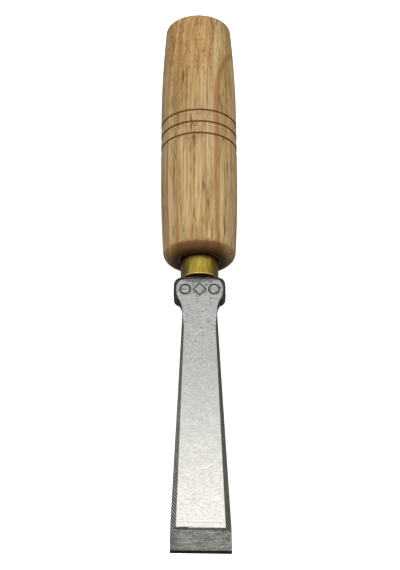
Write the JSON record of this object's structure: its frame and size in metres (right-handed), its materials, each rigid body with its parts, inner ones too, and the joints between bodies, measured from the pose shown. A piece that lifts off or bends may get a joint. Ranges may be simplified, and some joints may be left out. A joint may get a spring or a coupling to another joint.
{
  "type": "bench chisel",
  "caption": "Bench chisel with a tapering bevelled blade, forged bolster, brass ferrule and turned ash handle with decorative grooves, for paring and chopping wood.",
  "frame": {"origin": "middle of the cutting edge, on the plane of the flat back", "axes": "+Y along the tool from the cutting edge to the striking end of the handle; +Z out of the ground face, so the flat back faces -Z; +X across the blade"},
  "size_m": [0.0344, 0.2522, 0.0344],
  "materials": {
    "steel": "satin ground face and back, coarse ground bevels, dark forge scale on the bolster's sides",
    "brass": "drawn tube, lightly brushed and a little dull",
    "ash": "turned ash with open brown pores under a satin varnish",
    "glue": "cured adhesive, never seen"
  },
  "bodies": {
    "root": {"blade": "steel", "ferrule": "brass", "handle": "ash", "tang_glue": "glue"}
  },
  "joints": []
}
